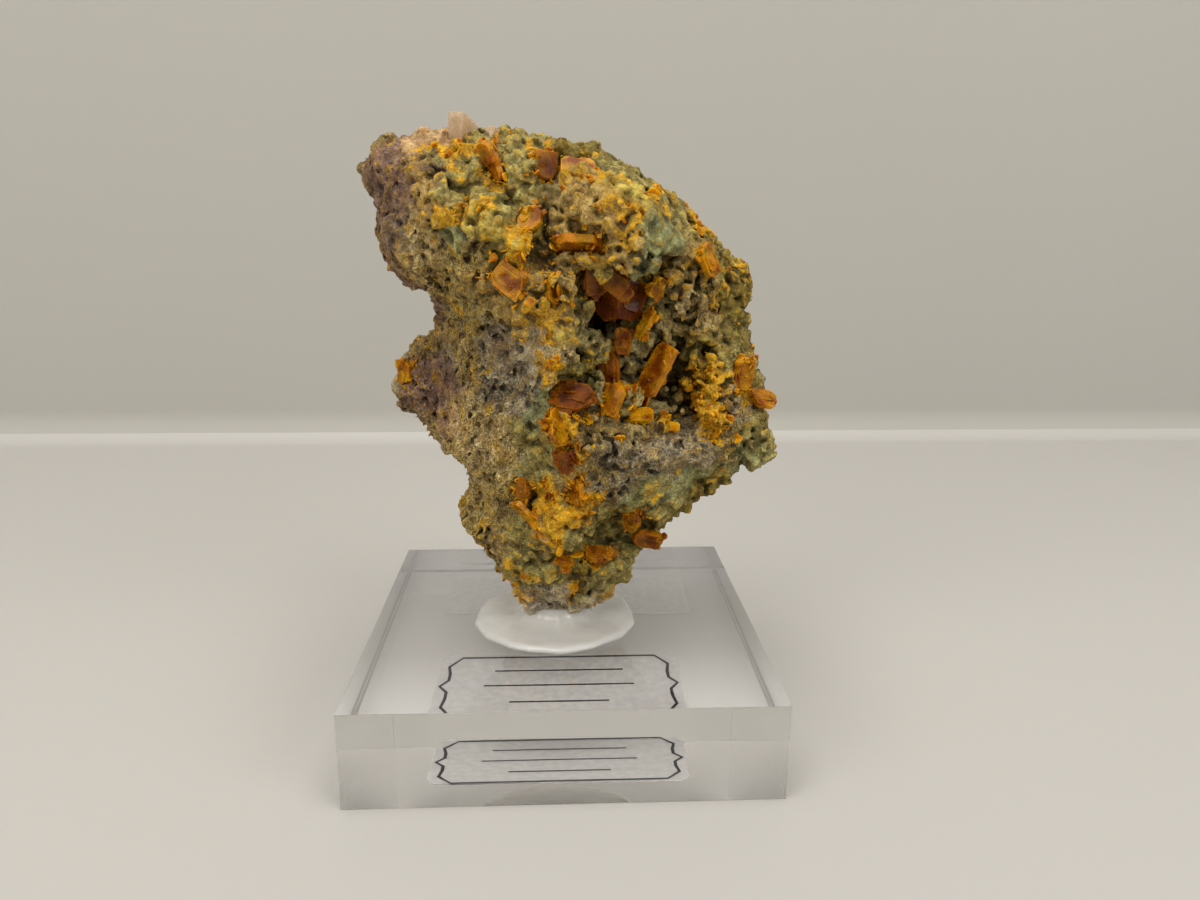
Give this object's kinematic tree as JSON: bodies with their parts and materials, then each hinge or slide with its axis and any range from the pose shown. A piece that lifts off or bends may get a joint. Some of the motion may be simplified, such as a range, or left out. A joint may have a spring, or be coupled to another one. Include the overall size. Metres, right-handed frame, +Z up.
{
  "type": "wulfenite mineral specimen on a display block",
  "caption": "Orange tabular wulfenite crystals on a green and tan crusted rock, glued upright to a clear square display block with film labels underneath.",
  "frame": {"origin": "centre of the clear block's underside, where the object stands", "axes": "+Z up; -Y is the front, where the framed film lies; +X to the viewer's right"},
  "size_m": [0.0535, 0.0508, 0.0772],
  "materials": {
    "acrylic": "polished",
    "glue": "gloss",
    "label_film": "satin",
    "rock": "matte",
    "wulfenite_honey": "gloss",
    "wulfenite_yellow": "gloss",
    "pale_crystal": "gloss"
  },
  "bodies": {
    "root": {"acrylic_base": "acrylic", "glue_pad": "glue", "front_label": "label_film", "rear_label": "label_film", "matrix_rock": "rock", "crystal_upper_blade": "wulfenite_honey", "crystal_upper_amber": "wulfenite_honey", "crystal_upper_salmon": "wulfenite_honey", "crystal_front_orange": "wulfenite_yellow", "crystal_salmon_plate": "wulfenite_honey", "crystal_rib_tablet": "wulfenite_honey", "crystal_shelf_plate": "wulfenite_honey", "crystal_vug_broad": "wulfenite_honey", "crystal_vug_pair": "wulfenite_honey", "crystal_vug_pillar": "wulfenite_honey", "crystal_vug_thin": "wulfenite_yellow", "crystal_vug_yellow": "wulfenite_yellow", "crystal_big_blade": "wulfenite_honey", "crystal_mid_lilac": "wulfenite_honey", "crystal_floor_brown": "wulfenite_honey", "crystal_floor_orange": "wulfenite_honey", "crystal_floor_small": "wulfenite_yellow", "crystal_right_top": "wulfenite_honey", "crystal_right_edge": "wulfenite_honey", "crystal_right_tip": "wulfenite_honey", "crystal_ridge_blade": "wulfenite_yellow", "crystal_ridge_brown": "wulfenite_honey", "crystal_ridge_rust": "wulfenite_honey", "crystal_left_brown": "wulfenite_honey", "crystal_left_blade": "wulfenite_yellow", "crystal_lower_blade": "wulfenite_honey", "crystal_lower_brown": "wulfenite_honey", "crystal_lower_slab": "wulfenite_honey", "crystal_lower_small": "wulfenite_honey", "crystal_lobe_orange": "wulfenite_honey", "crystal_back_upper": "wulfenite_honey", "crystal_back_middle": "wulfenite_honey", "crystal_back_lower": "wulfenite_honey", "pale_prism": "pale_crystal", "pale_prism_small": "pale_crystal"}
  },
  "joints": []
}
